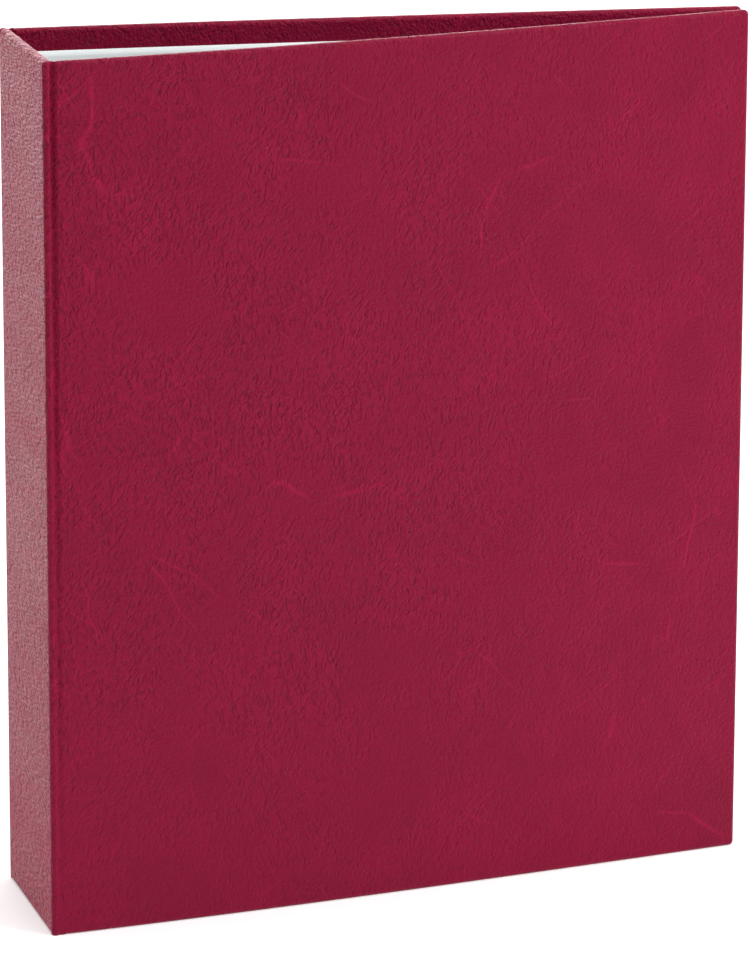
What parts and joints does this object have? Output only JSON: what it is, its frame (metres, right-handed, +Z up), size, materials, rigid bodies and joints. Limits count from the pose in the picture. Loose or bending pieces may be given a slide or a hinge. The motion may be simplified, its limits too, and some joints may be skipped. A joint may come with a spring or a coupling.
{
  "type": "coin album",
  "caption": "Upright ring-binder album with hinged leatherette covers, a sprung ring mechanism in the spine, clear pocket pages and white interleaves.",
  "frame": {"origin": "on the ground under the middle of the closed album", "axes": "+X from the spine to the fore-edge, +Y from the front cover to the back cover, +Z up along the spine"},
  "size_m": [0.2288, 0.058, 0.27],
  "materials": {
    "greyboard": "matte",
    "leatherette": "satin, embossed grain",
    "liner": "matte",
    "nickel": "polished",
    "zinc": "satin",
    "film": "clear, glossy",
    "interleaf": "matte"
  },
  "bodies": {
    "spine": {"spine_board": "greyboard", "spine_leatherette": "leatherette", "spine_liner": "liner", "ring_plate": "nickel", "mounting_rivets": "nickel", "rivet_posts": "zinc", "rivet_washers": "zinc", "trigger_pins": "zinc"},
    "front_cover": {"front_board": "greyboard", "front_leatherette": "leatherette", "front_liner": "liner"},
    "back_cover": {"back_board": "greyboard", "back_leatherette": "leatherette", "back_liner": "liner"},
    "front_ring_half": {"ring_blade_front": "zinc", "half_rings_front": "nickel"},
    "back_ring_half": {"ring_blade_back": "zinc", "half_rings_back": "nickel"},
    "trigger_top": {"trigger_top": "nickel"},
    "trigger_bottom": {"trigger_bottom": "nickel"},
    "coin_page_1": {"coin_page_1": "film"},
    "interleaf_1": {"interleaf_1": "interleaf"},
    "coin_page_2": {"coin_page_2": "film"},
    "interleaf_2": {"interleaf_2": "interleaf"},
    "coin_page_3": {"coin_page_3": "film"},
    "interleaf_3": {"interleaf_3": "interleaf"},
    "coin_page_4": {"coin_page_4": "film"},
    "interleaf_4": {"interleaf_4": "interleaf"},
    "coin_page_5": {"coin_page_5": "film"}
  },
  "joints": [
    {"name": "front_cover_hinge", "type": "hinge", "parent": "spine", "child": "front_cover", "pos_m": [-0.11411, -0.02875, 0.135], "axis": [0, 0, -1], "range_deg": [0, 180]},
    {"name": "back_cover_hinge", "type": "hinge", "parent": "spine", "child": "back_cover", "pos_m": [-0.11411, 0.02875, 0.135], "axis": [0, 0, 1], "range_deg": [0, 180]},
    {"name": "ring_opening", "type": "hinge", "parent": "spine", "child": "front_ring_half", "pos_m": [-0.10826, -0.0064, 0.135], "axis": [0, 0, -1], "range_deg": [0, 15]},
    {"name": "back_ring_opening", "type": "hinge", "parent": "spine", "child": "back_ring_half", "pos_m": [-0.10826, 0.0064, 0.135], "axis": [0, 0, 1], "range_deg": [0, 15]},
    {"name": "trigger_top_press", "type": "hinge", "parent": "spine", "child": "trigger_top", "pos_m": [-0.10676, 0, 0.25], "axis": [0, -1, 0], "range_deg": [0, 18]},
    {"name": "trigger_bottom_press", "type": "hinge", "parent": "spine", "child": "trigger_bottom", "pos_m": [-0.10676, 0, 0.02], "axis": [0, 1, 0], "range_deg": [0, 18]},
    {"name": "coin_page_1_turn", "type": "hinge", "parent": "spine", "child": "coin_page_1", "pos_m": [-0.09266, 0, 0.135], "axis": [0, 0, -1], "range_deg": [0, 88]},
    {"name": "interleaf_1_turn", "type": "hinge", "parent": "spine", "child": "interleaf_1", "pos_m": [-0.09266, 0, 0.135], "axis": [0, 0, -1], "range_deg": [0, 78]},
    {"name": "coin_page_2_turn", "type": "hinge", "parent": "spine", "child": "coin_page_2", "pos_m": [-0.09266, 0, 0.135], "axis": [0, 0, -1], "range_deg": [0, 68]},
    {"name": "interleaf_2_turn", "type": "hinge", "parent": "spine", "child": "interleaf_2", "pos_m": [-0.09266, 0, 0.135], "axis": [0, 0, -1], "range_deg": [0, 58]},
    {"name": "coin_page_3_turn", "type": "hinge", "parent": "spine", "child": "coin_page_3", "pos_m": [-0.09266, 0, 0.135], "axis": [0, 0, -1], "range_deg": [0, 48]},
    {"name": "interleaf_3_turn", "type": "hinge", "parent": "spine", "child": "interleaf_3", "pos_m": [-0.09266, 0, 0.135], "axis": [0, 0, -1], "range_deg": [0, 38]},
    {"name": "coin_page_4_turn", "type": "hinge", "parent": "spine", "child": "coin_page_4", "pos_m": [-0.09266, 0, 0.135], "axis": [0, 0, -1], "range_deg": [0, 28]},
    {"name": "interleaf_4_turn", "type": "hinge", "parent": "spine", "child": "interleaf_4", "pos_m": [-0.09266, 0, 0.135], "axis": [0, 0, -1], "range_deg": [0, 18]},
    {"name": "coin_page_5_turn", "type": "hinge", "parent": "spine", "child": "coin_page_5", "pos_m": [-0.09266, 0, 0.135], "axis": [0, 0, -1], "range_deg": [0, 8]}
  ],
  "couplings": [
    {"joint": "back_ring_opening", "follows": "ring_opening", "ratio": 1},
    {"joint": "trigger_top_press", "follows": "ring_opening", "ratio": 1.2},
    {"joint": "trigger_bottom_press", "follows": "ring_opening", "ratio": 1.2},
    {"joint": "coin_page_1_turn", "follows": "front_cover_hinge", "ratio": 0.4888},
    {"joint": "interleaf_1_turn", "follows": "front_cover_hinge", "ratio": 0.4333},
    {"joint": "coin_page_2_turn", "follows": "front_cover_hinge", "ratio": 0.3777},
    {"joint": "interleaf_2_turn", "follows": "front_cover_hinge", "ratio": 0.3222},
    {"joint": "coin_page_3_turn", "follows": "front_cover_hinge", "ratio": 0.2666},
    {"joint": "interleaf_3_turn", "follows": "front_cover_hinge", "ratio": 0.2111},
    {"joint": "coin_page_4_turn", "follows": "front_cover_hinge", "ratio": 0.1555},
    {"joint": "interleaf_4_turn", "follows": "front_cover_hinge", "ratio": 0.1},
    {"joint": "coin_page_5_turn", "follows": "front_cover_hinge", "ratio": 0.0444}
  ]
}
